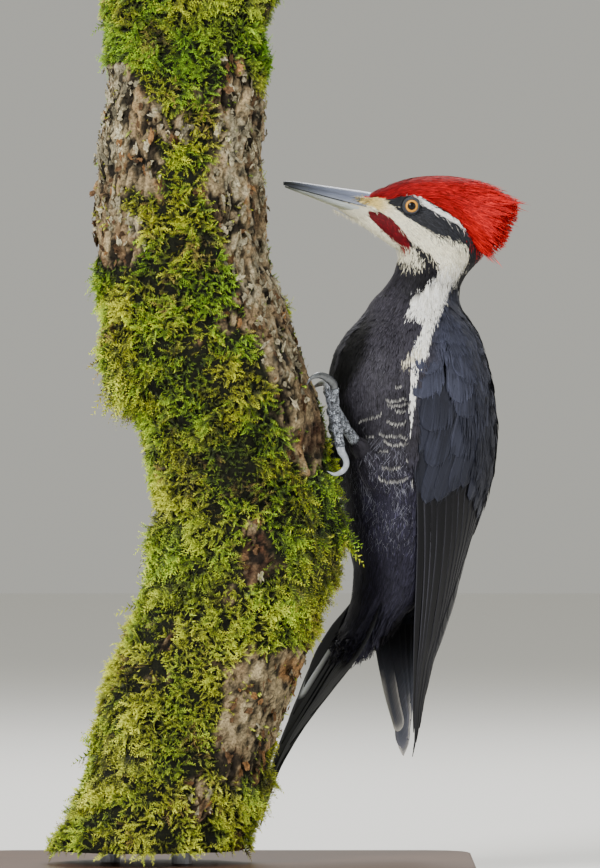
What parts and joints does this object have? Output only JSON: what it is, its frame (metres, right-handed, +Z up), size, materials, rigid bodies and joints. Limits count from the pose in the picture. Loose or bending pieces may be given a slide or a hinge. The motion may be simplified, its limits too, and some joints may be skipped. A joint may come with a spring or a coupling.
{
  "type": "pileated woodpecker specimen model",
  "caption": "Life-size still model of a male pileated woodpecker clinging upright to a length of crooked mossy trunk, on a flat display base with short rods.",
  "frame": {"origin": "middle of the base's underside", "axes": "+Z up along the trunk; the bill points to -X; the bird's left side, which the picture shows, faces -Y and a little to +X"},
  "size_m": [0.3252, 0.23, 0.531],
  "materials": {
    "black_feather": "matt charcoal-black contour feathers",
    "cream_feather": "short white and cream face feathers with black and red markings",
    "red_feather": "loose silky scarlet crest feathers",
    "wing_feather": "smooth bluish-black wing feathers with a soft sheen",
    "tail_feather": "stiff glossy black tail feathers",
    "dark_horn": "satin slate-blue horn",
    "pale_horn": "satin pale grey horn",
    "eye": "clear wet cornea over a yellow-orange iris",
    "leg_scale": "scaly blue-grey skin",
    "claw_horn": "polished grey horn",
    "mossy_bark": "rough flaking bark under moss and lichen",
    "dark_wood": "satin-varnished dark walnut",
    "steel": "brushed"
  },
  "bodies": {
    "root": {"head": "cream_feather", "crest": "red_feather", "bill_upper": "dark_horn", "bill_lower": "pale_horn", "eye_left": "eye", "eye_right": "eye", "neck": "black_feather", "trunk": "black_feather", "wing_left": "wing_feather", "wing_right": "wing_feather", "tail": "tail_feather", "thigh_left": "black_feather", "thigh_right": "black_feather", "foot_left": "leg_scale", "foot_right": "leg_scale", "perch_log": "mossy_bark", "stand_base": "dark_wood", "stand_rod_1": "steel", "stand_rod_2": "steel", "claw_left_1": "claw_horn", "claw_left_2": "claw_horn", "claw_left_3": "claw_horn", "claw_left_4": "claw_horn", "claw_right_1": "claw_horn", "claw_right_2": "claw_horn", "claw_right_3": "claw_horn", "claw_right_4": "claw_horn"}
  },
  "joints": []
}
